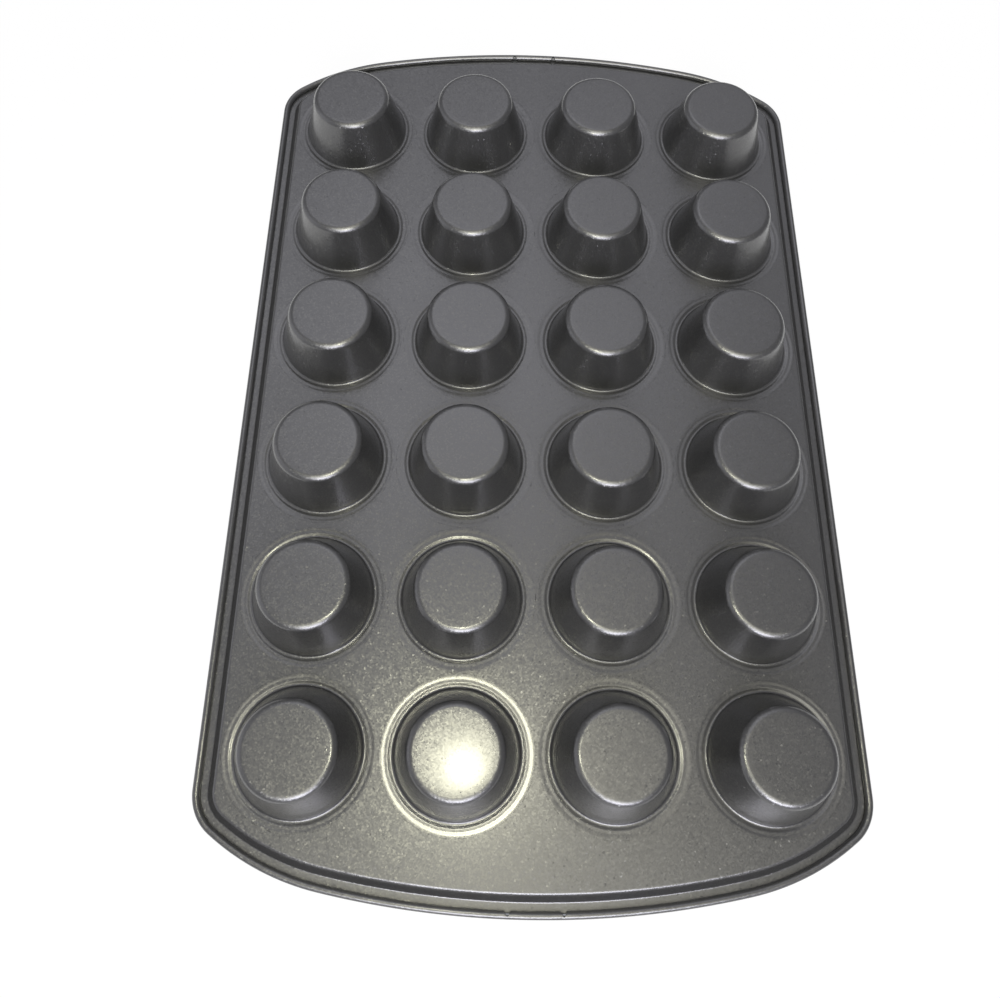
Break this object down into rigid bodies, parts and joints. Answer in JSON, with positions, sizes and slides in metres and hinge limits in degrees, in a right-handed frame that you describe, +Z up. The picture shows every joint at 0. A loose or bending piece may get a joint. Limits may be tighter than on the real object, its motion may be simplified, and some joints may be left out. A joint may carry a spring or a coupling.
{
  "type": "mini muffin pan",
  "caption": "Shallow bowed-end baking pan with a grid of small tapered cups in a flat deck, a stepped flange and a rolled rim, coated dark grey.",
  "frame": {"origin": "under the middle of the pan, in the plane of the flange that it rests on upside down", "axes": "+X to the right across the pan, +Y along the pan towards its back end, +Z up out of the cup bases"},
  "size_m": [0.2492, 0.3996, 0.0243],
  "materials": {
    "coated_steel": "satin dark grey non-stick coating with fine metallic flake",
    "wire_steel": "plain drawn wire"
  },
  "bodies": {
    "root": {"deck_plate": "coated_steel", "rolled_rim": "coated_steel", "rim_wire": "wire_steel", "cup_r1_c1": "coated_steel", "cup_r1_c2": "coated_steel", "cup_r1_c3": "coated_steel", "cup_r1_c4": "coated_steel", "cup_r2_c1": "coated_steel", "cup_r2_c2": "coated_steel", "cup_r2_c3": "coated_steel", "cup_r2_c4": "coated_steel", "cup_r3_c1": "coated_steel", "cup_r3_c2": "coated_steel", "cup_r3_c3": "coated_steel", "cup_r3_c4": "coated_steel", "cup_r4_c1": "coated_steel", "cup_r4_c2": "coated_steel", "cup_r4_c3": "coated_steel", "cup_r4_c4": "coated_steel", "cup_r5_c1": "coated_steel", "cup_r5_c2": "coated_steel", "cup_r5_c3": "coated_steel", "cup_r5_c4": "coated_steel", "cup_r6_c1": "coated_steel", "cup_r6_c2": "coated_steel", "cup_r6_c3": "coated_steel", "cup_r6_c4": "coated_steel"}
  },
  "joints": []
}
